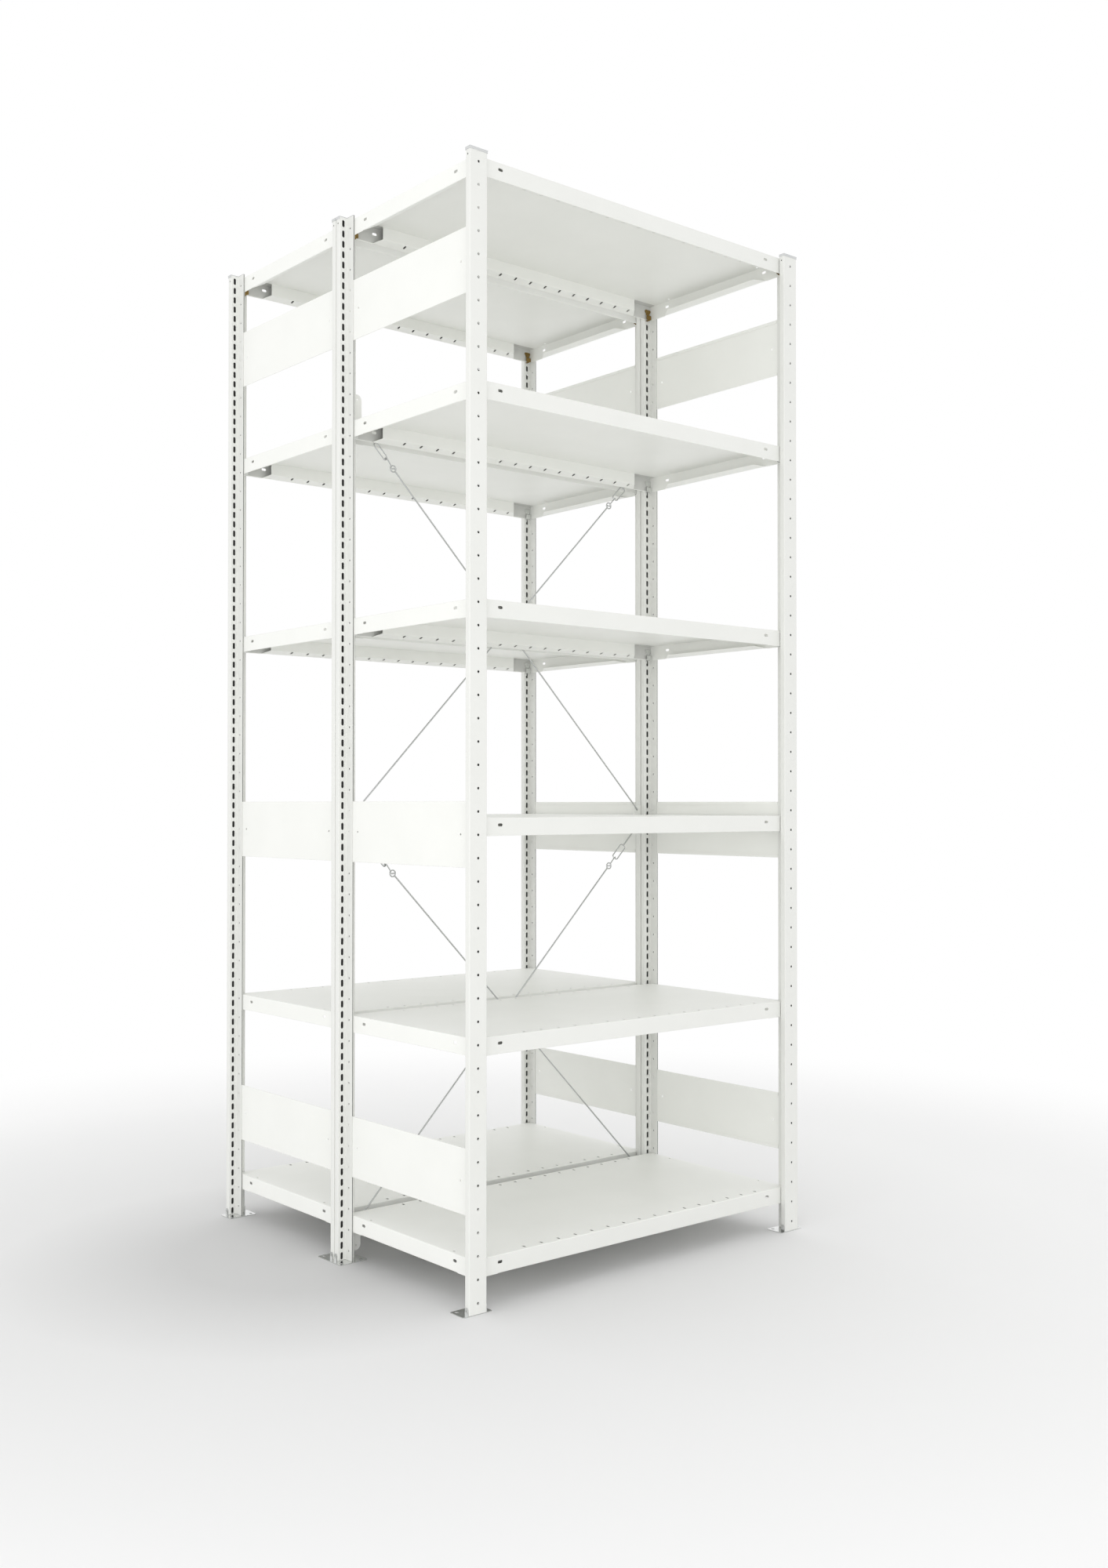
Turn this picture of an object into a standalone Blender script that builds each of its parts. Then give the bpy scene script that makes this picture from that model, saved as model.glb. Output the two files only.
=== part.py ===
"""Double-sided shelving unit: two bolt-free racks of folded sheet metal, back to back.

Metres, +Z up. X runs along the shelves, Y through both racks, and the origin is on the floor at the
unit's centre. Each rack has four T-shaped posts, six shelves and six side panels. Between the racks lie
the brace brackets and two crosses of tensioned rods. The post's own frame has its outer face on the
XZ plane, its web towards +Y and its lower end at z = 0.
"""

import math

import bmesh
import bpy
from mathutils import Matrix

# General
CLEARANCE = 0.0003
BITE = 0.0003
OVERRUN = 0.003
BEND_STEPS = 1
CORNER_STEPS = 2
CIRCLE_STEPS = 12
HOLE_STEPS = 8
TUBE_SMOOTHNESS = 1

# Posts
POST_FACE_WIDTH = 0.0473
POST_FLANGE_DEPTH = 0.016
POST_DEPTH = 0.0423
POST_SHEET = 0.0015
POST_BEND_RADIUS = 0.0018
SLOT_COUNT = 100
SLOT_PITCH = 0.025
FIRST_SLOT = 0.01

# Shelves
SHELF_LENGTH = 1.0
SHELF_DEPTH = 0.5
SHELF_LIP = 0.04
SHELF_SHEET = 0.001
SHELF_EDGE_RADIUS = 0.002
SHELF_LEVELS = 6
FIRST_LEVEL_SLOT = 2
SLOTS_PER_LEVEL = 19
LIP_ABOVE_SLOT = 0.0088
TOP_LIP_EXTRA = 0.0108
LIP_GAP = 0.0021
LONG_FOLD_DEPTH = 0.0225
SIDE_FOLD_DEPTH = 0.02
FOLD_RISE_SHARE = 0.36
LONG_FOLD_END = 0.065
LONG_FOLD_MITRE = 0.0175
SIDE_FOLD_END = 0.06
SIDE_FOLD_MITRE = 0.03
LIP_HOLE_LENGTH = 0.0134
LIP_HOLE_WIDTH = 0.0066
LIP_HOLE_HEIGHT = 0.0242
LONG_LIP_HOLE_INSET = 0.071
SIDE_LIP_HOLE_INSET = 0.069

# Shelf clips
CLIP_WIDTH = 0.017
CLIP_OFFSET = 0.0146
CLIP_SHEET = 0.0015
CLIP_BEND_RADIUS = 0.0006
CLIP_HEIGHT = 0.029
CLIP_HEAD = 0.0145
CLIP_SLANT = 0.003
CLIP_STEP = 0.005

# Side panels
PANEL_HEIGHT = 0.1445
PANEL_SHEET = 0.001
PANEL_GRIP = 0.024
PANEL_HEM_HEIGHT = 0.008
PANEL_HEM_THICKNESS = 0.0012
PANEL_HEM_SETBACK = 0.002
PANEL_HOLE_RADIUS = 0.0025
PANEL_HOLE_INSET = 0.047
PANEL_POST_HOLES = {"low": 5, "middle": 20, "top": 45}

# Caps
CAP_WALL = 0.0008
CAP_PLATE = 0.0015
CAP_RIM = 0.0045

# Foot plates
FOOT_WIDTH = 0.078
FOOT_DEPTH = 0.05
FOOT_SHEET = 0.002
FOOT_CORNER_RADIUS = 0.004
FOOT_HOLE_LENGTH = 0.011
FOOT_HOLE_WIDTH = 0.007
FOOT_HOLE_OFFSET = 0.0285
FOOT_HOLE_INSET = 0.039
EAR_WIDTH = 0.0105
EAR_HEIGHT = 0.016
EAR_CENTRE_INSET = 0.0078
EAR_TOP_RADIUS = 0.0048
EAR_HOLE_RADIUS = 0.002
EAR_HOLE_HEIGHT = 0.0095

# Brace brackets
BRACKET_SHEET = 0.002
BRACKET_MARGIN = 0.012
BRACKET_HOLE_REACH = 0.038
BRACKET_TAIL = 0.01
BRACKET_CORNER_RADIUS = 0.014
HOLES_PER_BRACKET = 20

# Braces
ROD_RADIUS = 0.002
HOOK_CLEARANCE = 0.0004
HOOK_BEND_RADIUS = 0.003
HOOK_TIP = 0.004
STEM_RADIUS = 0.0016
LINK_START = 0.068
LINK_LENGTH = 0.051
LINK_WIDTH = 0.019
LINK_WIRE_RADIUS = 0.0015
RING_PLACE = 0.147
RING_RADIUS = 0.008
RING_WIRE_RADIUS = 0.0016
HOOK_RUN = 0.006

# Sizes that follow from the ones above
POST_WEB_GAP = PANEL_SHEET + 2 * CLEARANCE
POST_WEB_THICKNESS = POST_WEB_GAP + 2 * POST_SHEET
POST_LENGTH = SLOT_COUNT * SLOT_PITCH
POST_SPACING = SHELF_LENGTH + POST_WEB_THICKNESS + 2 * CLEARANCE
POST_BASE = FOOT_SHEET + CLEARANCE
SHELF_SETBACK = POST_FLANGE_DEPTH + LIP_GAP
RACK_DEPTH = SHELF_DEPTH + 2 * SHELF_SETBACK
RACK_GAP = BRACKET_SHEET + 2 * CLEARANCE
INNER_FACE = RACK_GAP / 2
OUTER_FACE = INNER_FACE + RACK_DEPTH
RACK_CENTRE = (INNER_FACE + OUTER_FACE) / 2
HOLE_PITCH = 2 * SLOT_PITCH
HOOK_OFFSET = BRACKET_SHEET / 2 + CLEARANCE + ROD_RADIUS

# Turns an outline drawn as x, y into one that stands as X, Z or as Y, Z
STAND_ALONG_X = Matrix.Rotation(math.pi / 2, 4, "X")
STAND_ALONG_Y = Matrix(((0, 0, 1, 0), (1, 0, 0, 0), (0, 1, 0, 0), (0, 0, 0, 1)))


def clear_scene():
    for obj in list(bpy.data.objects):
        bpy.data.objects.remove(obj)


def make_material(name, colour, roughness, metallic):
    material = bpy.data.materials.new(name)
    material.use_nodes = True
    shader = material.node_tree.nodes["Principled BSDF"]
    shader.inputs["Base Color"].default_value = (*colour, 1)
    shader.inputs["Roughness"].default_value = roughness
    shader.inputs["Metallic"].default_value = metallic
    return material


# Outlines


def arc_at_corner(before, corner, after, radius, steps):
    """The points of the arc that rounds a corner of a polyline."""
    first = (corner[0] - before[0], corner[1] - before[1])
    second = (after[0] - corner[0], after[1] - corner[1])
    start = math.atan2(first[1], first[0])
    turn = math.atan2(second[1], second[0]) - start
    turn = (turn + math.pi) % (2 * math.pi) - math.pi
    side = math.copysign(1, turn)
    tangent = radius * math.tan(abs(turn) / 2)
    entry = (corner[0] - tangent * math.cos(start), corner[1] - tangent * math.sin(start))
    centre = (entry[0] - side * radius * math.sin(start), entry[1] + side * radius * math.cos(start))
    points = []
    for step in range(steps + 1):
        heading = start + turn * step / steps
        x = centre[0] + side * radius * math.sin(heading)
        y = centre[1] - side * radius * math.cos(heading)
        points.append((x, y))
    return points


def rounded_path(corners, radius, steps):
    """An open polyline with each corner between its ends rounded."""
    points = [corners[0]]
    for before, corner, after in zip(corners, corners[1:], corners[2:]):
        points += arc_at_corner(before, corner, after, radius, steps)
    return points + [corners[-1]]


def rounded_outline(corners, radius):
    """A closed polyline with every corner rounded."""
    points = []
    for index, corner in enumerate(corners):
        after = corners[(index + 1) % len(corners)]
        points += arc_at_corner(corners[index - 1], corner, after, radius, CORNER_STEPS)
    return points


def beside(path, distance):
    """The open polyline that runs beside another, on its left for a positive distance."""
    headings = [math.atan2(b[1] - a[1], b[0] - a[0]) for a, b in zip(path, path[1:])]
    points = []
    for index, (x, y) in enumerate(path):
        before = headings[max(index - 1, 0)]
        after = headings[min(index, len(headings) - 1)]
        half_turn = ((after - before + math.pi) % (2 * math.pi) - math.pi) / 2
        reach = distance / math.cos(half_turn)
        heading = before + half_turn
        points.append((x - reach * math.sin(heading), y + reach * math.cos(heading)))
    return points


def sheet_outline(corners, sheet, radius):
    """The outline of a folded sheet whose middle line has these corners."""
    middle = rounded_path(corners, radius, BEND_STEPS)
    return beside(middle, sheet / 2) + beside(middle, -sheet / 2)[::-1]


def rectangle(low_x, high_x, low_y, high_y):
    return [(low_x, low_y), (high_x, low_y), (high_x, high_y), (low_x, high_y)]


def circle(x, y, radius, lead_share=0.5):
    """A round hole, its first corner this share of a step past the x axis."""
    angles = [2 * math.pi * (step + lead_share) / HOLE_STEPS for step in range(HOLE_STEPS)]
    return [(x + radius * math.cos(a), y + radius * math.sin(a)) for a in angles]


def oval(x, y, length, width):
    """A slot with round ends, its length along x."""
    reach = (length - width) / 2
    points = []
    steps = CIRCLE_STEPS // 4
    for step in range(steps + 1):
        angle = math.pi * step / steps - math.pi / 2
        points.append((x + reach + width / 2 * math.cos(angle), y + width / 2 * math.sin(angle)))
    return points + [(2 * x - px, 2 * y - py) for px, py in points]


# Meshes


def mesh_of_curve(curve):
    """The mesh of a curve, its loose caps welded on, and the curve removed."""
    holder = bpy.data.objects.new("curve", curve)
    bpy.context.scene.collection.objects.link(holder)
    graph = bpy.context.evaluated_depsgraph_get()
    mesh = bpy.data.meshes.new_from_object(holder.evaluated_get(graph))
    bpy.data.objects.remove(holder)
    bpy.data.curves.remove(curve)
    shape = bmesh.new()
    shape.from_mesh(mesh)
    bmesh.ops.remove_doubles(shape, verts=shape.verts, dist=CLEARANCE / 30)
    bmesh.ops.recalc_face_normals(shape, faces=shape.faces)
    shape.to_mesh(mesh)
    shape.free()
    return mesh


def plate(outlines, thickness, middle=0.0):
    """A flat plate across z, the first outline its edge and the others its holes."""
    curve = bpy.data.curves.new("outline", "CURVE")
    curve.dimensions = "2D"
    curve.fill_mode = "BOTH"
    curve.extrude = thickness / 2
    for outline in outlines:
        spline = curve.splines.new("POLY")
        spline.points.add(len(outline) - 1)
        for point, (x, y) in zip(spline.points, outline):
            point.co = (x, y, 0, 1)
        spline.use_cyclic_u = True
    mesh = mesh_of_curve(curve)
    mesh.transform(Matrix.Translation((0, 0, middle)))
    return mesh


def tube(points, radius, closed=False):
    """A round wire along 3D points."""
    curve = bpy.data.curves.new("wire", "CURVE")
    curve.dimensions = "3D"
    curve.bevel_depth = radius
    curve.bevel_resolution = TUBE_SMOOTHNESS
    curve.use_fill_caps = not closed
    spline = curve.splines.new("POLY")
    spline.points.add(len(points) - 1)
    for point, place in zip(spline.points, points):
        point.co = (*place, 1)
    spline.use_cyclic_u = closed
    return mesh_of_curve(curve)


def moved(mesh, matrix):
    mesh.transform(matrix)
    return mesh


def joined(meshes):
    """One mesh that holds several, still apart from each other."""
    shape = bmesh.new()
    for mesh in meshes:
        shape.from_mesh(mesh)
        bpy.data.meshes.remove(mesh)
    result = bpy.data.meshes.new("group")
    shape.to_mesh(result)
    shape.free()
    return result


def combine(base, tool, operation):
    """The mesh that a Boolean makes of two others, which it uses up."""
    holders = [bpy.data.objects.new("piece", mesh) for mesh in (base, tool)]
    for holder in holders:
        bpy.context.scene.collection.objects.link(holder)
    boolean = holders[0].modifiers.new("Boolean", "BOOLEAN")
    boolean.operation = operation
    boolean.solver = "EXACT"
    boolean.object = holders[1]
    graph = bpy.context.evaluated_depsgraph_get()
    result = bpy.data.meshes.new_from_object(holders[0].evaluated_get(graph))
    for holder in holders:
        bpy.data.objects.remove(holder)
    bpy.data.meshes.remove(base)
    bpy.data.meshes.remove(tool)
    return result


# Posts and their clips


def lip_height(level):
    """The height on the post of a shelf's lower edge, just above the slot that holds its clips."""
    slot = FIRST_SLOT + SLOT_PITCH * (FIRST_LEVEL_SLOT + SLOTS_PER_LEVEL * level)
    return slot + LIP_ABOVE_SLOT + (TOP_LIP_EXTRA if level == SHELF_LEVELS - 1 else 0)


def clip_mesh(level, side):
    """A clip: a web from the post under the shelf's lip, and a stepped leg that stands inside the shelf."""
    lip = lip_height(level)
    web = lip - CLEARANCE - CLIP_SHEET / 2
    head = SHELF_SETBACK + SHELF_SHEET + CLEARANCE + CLIP_SHEET / 2
    leg = head + CLIP_STEP
    shoulder = lip + CLIP_HEIGHT - CLIP_HEAD
    corners = [
        (head, lip + CLIP_HEIGHT),
        (head, shoulder),
        (leg, shoulder - CLIP_SLANT),
        (leg, web),
        (POST_FLANGE_DEPTH - BITE, web),
    ]
    mesh = plate([sheet_outline(corners, CLIP_SHEET, CLIP_BEND_RADIUS)], CLIP_WIDTH)
    mesh.transform(STAND_ALONG_Y)
    return moved(mesh, Matrix.Translation((side * CLIP_OFFSET, 0, 0)))


def post_outline():
    """The T-shaped section: a flanged face whose sheet returns to a double web."""
    half = (POST_FACE_WIDTH - POST_SHEET) / 2
    web = (POST_WEB_GAP + POST_SHEET) / 2
    face = POST_SHEET / 2
    back = POST_FLANGE_DEPTH - POST_SHEET / 2
    right = [(half, face), (half, back), (web, back), (web, POST_DEPTH)]
    left = [(-x, y) for x, y in right[::-1]]
    return sheet_outline(left + right, POST_SHEET, POST_BEND_RADIUS)


def post_mesh(side):
    """A post with its clips on one side of the web."""
    post = plate([post_outline()], POST_LENGTH, POST_LENGTH / 2)
    clips = joined([clip_mesh(level, side) for level in range(SHELF_LEVELS)])
    return combine(post, clips, "UNION")


def cap_mesh():
    """A T-shaped lid, with a rim down the post's face and flanks. Its z = 0 is the post's upper end."""
    half = POST_FACE_WIDTH / 2 + CLEARANCE + CAP_WALL
    front = -CLEARANCE - CAP_WALL
    back = POST_FLANGE_DEPTH
    web = POST_WEB_THICKNESS / 2
    right = [(half, front), (half, back), (web, back), (web, POST_DEPTH)]
    outline = right + [(-x, y) for x, y in right[::-1]]
    lid = plate([outline], CAP_PLATE, CLEARANCE + CAP_PLATE / 2)
    middle = half - CAP_WALL / 2
    face = front + CAP_WALL / 2
    corners = [(-middle, back - BITE), (-middle, face), (middle, face), (middle, back - BITE)]
    height = CAP_RIM + CLEARANCE + BITE
    rim = plate([sheet_outline(corners, CAP_WALL, CAP_WALL)], height, CLEARANCE + BITE - height / 2)
    return combine(lid, rim, "UNION")


# Shelves


def tray_mesh():
    """The shelf's deck and four lips: a rounded block, hollow below."""
    shape = bmesh.new()
    size = Matrix.Diagonal((SHELF_LENGTH, SHELF_DEPTH, SHELF_LIP, 1))
    bmesh.ops.create_cube(shape, size=1, matrix=Matrix.Translation((0, 0, SHELF_LIP / 2)) @ size)
    upper = [edge for edge in shape.edges if any(vert.co.z > SHELF_LIP / 2 for vert in edge.verts)]
    bmesh.ops.bevel(
        shape, geom=upper, offset=SHELF_EDGE_RADIUS, segments=CORNER_STEPS, profile=0.5, affect="EDGES"
    )
    tray = bpy.data.meshes.new("tray")
    shape.to_mesh(tray)
    shape.free()
    half_length = SHELF_LENGTH / 2 - SHELF_SHEET
    half_depth = SHELF_DEPTH / 2 - SHELF_SHEET
    height = SHELF_LIP - SHELF_SHEET + OVERRUN
    hollow = rectangle(-half_length, half_length, -half_depth, half_depth)
    return combine(tray, plate([hollow], height, height / 2 - OVERRUN), "DIFFERENCE")


def fold_mesh(run, span, corners, end, mitre, depth):
    """A lip's inward fold, its ends mitred. It runs along X and the lip's outer face is y = 0."""
    fold = plate([sheet_outline(corners, SHELF_SHEET, SHELF_SHEET)], run)
    fold.transform(STAND_ALONG_Y)
    low = run / 2 - end
    high = low - mitre
    slant = mitre / depth * OVERRUN
    trim = [
        (-low - slant, -OVERRUN),
        (low + slant, -OVERRUN),
        (high - slant, depth + OVERRUN),
        (slant - high, depth + OVERRUN),
    ]
    return combine(fold, plate([trim], span, span / 2 - OVERRUN), "INTERSECT")


def shelf_folds():
    """The folds of the four lips: boxed to the deck on the long sides, plain on the short ones."""
    edge = SHELF_SHEET / 2
    deck = SHELF_LIP - SHELF_SHEET / 2
    span = SHELF_LIP + 2 * OVERRUN
    long_reach = LONG_FOLD_DEPTH - edge
    side_reach = SIDE_FOLD_DEPTH
    long_corners = [
        (edge, edge),
        (long_reach, edge + FOLD_RISE_SHARE * long_reach),
        (long_reach, deck),
    ]
    side_corners = [(edge, edge), (side_reach, edge + FOLD_RISE_SHARE * side_reach)]
    folds = []
    for turn in (0, math.pi):
        fold = fold_mesh(SHELF_LENGTH, span, long_corners, LONG_FOLD_END, LONG_FOLD_MITRE, LONG_FOLD_DEPTH)
        fold.transform(Matrix.Rotation(turn, 4, "Z") @ Matrix.Translation((0, -SHELF_DEPTH / 2, 0)))
        folds.append(fold)
    for turn in (math.pi / 2, -math.pi / 2):
        fold = fold_mesh(SHELF_DEPTH, span, side_corners, SIDE_FOLD_END, SIDE_FOLD_MITRE, SIDE_FOLD_DEPTH)
        fold.transform(Matrix.Rotation(turn, 4, "Z") @ Matrix.Translation((0, -SHELF_LENGTH / 2, 0)))
        folds.append(fold)
    return joined(folds)


def lip_hole_cutters():
    """An oval hole near each end of every lip."""
    depth = SHELF_SHEET + 2 * OVERRUN
    cutters = []
    for turn, run, reach, inset in (
        (0, SHELF_LENGTH, SHELF_DEPTH, LONG_LIP_HOLE_INSET),
        (math.pi / 2, SHELF_DEPTH, SHELF_LENGTH, SIDE_LIP_HOLE_INSET),
    ):
        for half_turn in (0, math.pi):
            for side in (-1, 1):
                hole = oval(side * (run / 2 - inset), LIP_HOLE_HEIGHT, LIP_HOLE_LENGTH, LIP_HOLE_WIDTH)
                cutter = plate([hole], depth)
                cutter.transform(Matrix.Translation((0, -reach / 2, 0)) @ STAND_ALONG_X)
                cutters.append(moved(cutter, Matrix.Rotation(turn + half_turn, 4, "Z")))
    return joined(cutters)


def shelf_mesh():
    """A shelf about its centre, with z = 0 at the lower edge of its lips."""
    tray = combine(tray_mesh(), lip_hole_cutters(), "DIFFERENCE")
    return combine(tray, shelf_folds(), "UNION")


# Side panels, foot plates and brackets


def panel_mesh(side):
    """A side panel about its centre. Its ends sit in the posts' webs and its hems face the bay."""
    half_run = RACK_DEPTH / 2 - POST_DEPTH + PANEL_GRIP
    half_height = PANEL_HEIGHT / 2
    hole = RACK_DEPTH / 2 - POST_FLANGE_DEPTH - PANEL_HOLE_INSET
    outlines = [rectangle(-half_run, half_run, -half_height, half_height)]
    outlines.append(circle(-hole, 0, PANEL_HOLE_RADIUS, 0))
    outlines.append(circle(hole, 0, PANEL_HOLE_RADIUS))
    panel = moved(plate(outlines, PANEL_SHEET), STAND_ALONG_Y)
    half_hem = RACK_DEPTH / 2 - POST_DEPTH - PANEL_HEM_SETBACK
    thickness = PANEL_HEM_THICKNESS + BITE
    inside = PANEL_SHEET / 2 + PANEL_HEM_THICKNESS - thickness / 2
    hems = []
    for low in (BITE - half_height, half_height - PANEL_HEM_HEIGHT - BITE):
        hem = plate([rectangle(-half_hem, half_hem, low, low + PANEL_HEM_HEIGHT)], thickness)
        hem.transform(Matrix.Translation((side * inside, 0, 0)) @ STAND_ALONG_Y)
        hems.append(hem)
    return combine(panel, joined(hems), "UNION")


def ear_mesh(side):
    """One upright ear of a foot plate, beside a post's flank, in the post's frame."""
    low = -POST_BASE + FOOT_SHEET / 2
    half = EAR_WIDTH / 2
    edge = [(-half, low), (-half, EAR_HEIGHT), (half, EAR_HEIGHT), (half, low)]
    edge = rounded_path(edge, EAR_TOP_RADIUS, CORNER_STEPS)
    mesh = plate([edge, circle(0, EAR_HOLE_HEIGHT, EAR_HOLE_RADIUS)], FOOT_SHEET)
    inside = POST_FACE_WIDTH / 2 + CLEARANCE + FOOT_SHEET / 2
    mesh.transform(Matrix.Translation((side * inside, EAR_CENTRE_INSET, 0)) @ STAND_ALONG_Y)
    return mesh


def foot_mesh(posts):
    """A foot plate in the frame of one post, or of the plane between two."""
    half = FOOT_WIDTH / 2
    if posts == 1:
        near, turns, face = 0.0, (0,), 0.0
    else:
        near, turns, face = -FOOT_DEPTH, (0, math.pi), INNER_FACE
    outlines = [rounded_outline(rectangle(-half, half, near, FOOT_DEPTH), FOOT_CORNER_RADIUS)]
    for turn in turns:
        way = 1 if turn == 0 else -1
        for side in (-1, 1):
            hole = oval(way * FOOT_HOLE_INSET, side * FOOT_HOLE_OFFSET, FOOT_HOLE_LENGTH, FOOT_HOLE_WIDTH)
            outlines.append([(x, y) for y, x in hole])
    sheet = plate(outlines, FOOT_SHEET, -CLEARANCE - FOOT_SHEET / 2)
    ears = []
    for turn in turns:
        for side in (-1, 1):
            ear = moved(ear_mesh(side), Matrix.Translation((0, face, 0)))
            ears.append(moved(ear, Matrix.Rotation(turn, 4, "Z")))
    return combine(sheet, joined(ears), "UNION")


def bracket_mesh():
    """A bracket plate about its lower brace hole, its tail between the posts at -X."""
    tail = -BRACKET_HOLE_REACH - BRACKET_TAIL
    edge = rectangle(tail, BRACKET_MARGIN, -BRACKET_MARGIN, HOLE_PITCH + BRACKET_MARGIN)
    radius = ROD_RADIUS + HOOK_CLEARANCE
    outlines = [rounded_outline(edge, BRACKET_CORNER_RADIUS)]
    outlines += [circle(0, height, radius) for height in (0, HOLE_PITCH)]
    return moved(plate(outlines, BRACKET_SHEET), STAND_ALONG_X)


# Braces, with x along the brace from its upper hook and y = 0 in the brackets' plane


def hook_points(place, way):
    """The bent end of a rod, from its tip behind the bracket to its run along the brace."""
    centre = (place + way * HOOK_BEND_RADIUS, HOOK_BEND_RADIUS - HOOK_OFFSET)
    points = [(place, HOOK_TIP, 0)]
    steps = CIRCLE_STEPS // 4
    for step in range(steps + 1):
        angle = math.pi / 2 * step / steps
        x = centre[0] - way * HOOK_BEND_RADIUS * math.cos(angle)
        y = centre[1] - HOOK_BEND_RADIUS * math.sin(angle)
        points.append((x, y, 0))
    return points


def link_mesh():
    """The hooked stem and the closed oval link at a brace's upper end."""
    start = LINK_START + LINK_WIRE_RADIUS
    stem = tube(hook_points(0, 1) + [(start, -HOOK_OFFSET, 0)], ROD_RADIUS)
    radius = LINK_WIDTH / 2 - LINK_WIRE_RADIUS
    end = LINK_START + LINK_LENGTH - LINK_WIRE_RADIUS
    loop = []
    steps = CIRCLE_STEPS // 2
    for middle, first in ((start + radius, math.pi / 2), (end - radius, -math.pi / 2)):
        for step in range(steps + 1):
            angle = first + math.pi * step / steps
            point = (middle + radius * math.cos(angle), -HOOK_OFFSET, radius * math.sin(angle))
            loop.append(point)
    return combine(stem, tube(loop, LINK_WIRE_RADIUS, closed=True), "UNION")


def rod_mesh(length):
    """The long rod with its lower hook, the tension ring and the hook that holds the link."""
    ring = []
    for step in range(CIRCLE_STEPS):
        angle = 2 * math.pi * step / CIRCLE_STEPS
        point = (RING_PLACE + RING_RADIUS * math.cos(angle), -HOOK_OFFSET, RING_RADIUS * math.sin(angle))
        ring.append(point)
    rod = tube(hook_points(length, -1) + [(RING_PLACE - RING_RADIUS, -HOOK_OFFSET, 0)], ROD_RADIUS)
    wire = LINK_START + LINK_LENGTH - LINK_WIRE_RADIUS
    reach = LINK_WIRE_RADIUS + CLEARANCE + STEM_RADIUS
    hook = [(RING_PLACE, -HOOK_OFFSET, 0)]
    hook.append((wire + reach + HOOK_RUN, -HOOK_OFFSET, 0))
    steps = CIRCLE_STEPS // 2
    for step in range(steps + 1):
        angle = math.pi * step / steps
        point = (wire - reach * math.sin(angle), -HOOK_OFFSET - reach * math.cos(angle), 0)
        hook.append(point)
    rod = combine(rod, tube(ring, RING_WIRE_RADIUS, closed=True), "UNION")
    return combine(rod, tube(hook, STEM_RADIUS), "UNION")


# Assembly


def finish_mesh(mesh, name, material):
    """Names a finished mesh, gives it its material and shades it smooth but for its folds."""
    mesh.name = name
    mesh.materials.clear()
    mesh.materials.append(material)
    mesh.shade_smooth()
    mesh.set_sharp_from_angle(angle=math.radians(35))
    return mesh


class Unit:
    """Places named pieces in one collection, all carried by one empty."""

    def __init__(self, name):
        self.collection = bpy.data.collections.new(name)
        bpy.context.scene.collection.children.link(self.collection)
        self.carrier = bpy.data.objects.new(name + "_origin", None)
        self.collection.objects.link(self.carrier)

    def add(self, name, mesh, location, turn=(0, 0, 0)):
        piece = bpy.data.objects.new(name, mesh)
        piece.location = location
        piece.rotation_euler = turn
        piece.parent = self.carrier
        self.collection.objects.link(piece)


SIDES = (("left", -1), ("right", 1))
RACKS = (("front", -1), ("back", 1))
ROWS = (("outer", OUTER_FACE, 1), ("inner", INNER_FACE, -1))


def hole_height(hole):
    """The height above the floor of a hole in the posts, which lie midway between slots."""
    return POST_BASE + FIRST_SLOT + SLOT_PITCH / 2 + HOLE_PITCH * hole


def add_posts_and_caps(unit, coat, plastic):
    posts = {side: finish_mesh(post_mesh(side), "post", coat) for side in (-1, 1)}
    cap = finish_mesh(cap_mesh(), "cap", plastic)
    for rack, rack_way in RACKS:
        for row, face, inwards in ROWS:
            web_way = -rack_way * inwards
            turn = (0, 0, 0 if web_way > 0 else math.pi)
            for side, side_way in SIDES:
                x, y = side_way * POST_SPACING / 2, rack_way * face
                clip_side = -side_way * web_way
                unit.add(f"{rack}_{row}_post_{side}", posts[clip_side], (x, y, POST_BASE), turn)
                unit.add(f"{rack}_{row}_cap_{side}", cap, (x, y, POST_BASE + POST_LENGTH), turn)


def add_shelves(unit, coat):
    shelf = finish_mesh(shelf_mesh(), "shelf", coat)
    for rack, rack_way in RACKS:
        turn = (0, 0, 0 if rack_way < 0 else math.pi)
        for level in range(SHELF_LEVELS):
            place = (0, rack_way * RACK_CENTRE, POST_BASE + lip_height(level))
            unit.add(f"{rack}_shelf_{level + 1}", shelf, place, turn)


def add_panels(unit, coat):
    for side, side_way in SIDES:
        panel = finish_mesh(panel_mesh(-side_way), "side_panel", coat)
        for rack, rack_way in RACKS:
            for level, hole in PANEL_POST_HOLES.items():
                place = (side_way * POST_SPACING / 2, rack_way * RACK_CENTRE, hole_height(hole))
                unit.add(f"{rack}_{level}_side_panel_{side}", panel, place)


def add_feet(unit, zinc):
    single = finish_mesh(foot_mesh(1), "foot_plate", zinc)
    double = finish_mesh(foot_mesh(2), "double_foot_plate", zinc)
    for side, side_way in SIDES:
        x = side_way * POST_SPACING / 2
        unit.add(f"front_foot_plate_{side}", single, (x, -OUTER_FACE, POST_BASE))
        unit.add(f"middle_foot_plate_{side}", double, (x, 0, POST_BASE))
        unit.add(f"back_foot_plate_{side}", single, (x, OUTER_FACE, POST_BASE), (0, 0, math.pi))


def bracket_height(level):
    """The height of the lower brace hole of the low, middle or top brackets."""
    return hole_height(HOLES_PER_BRACKET * level)


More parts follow.
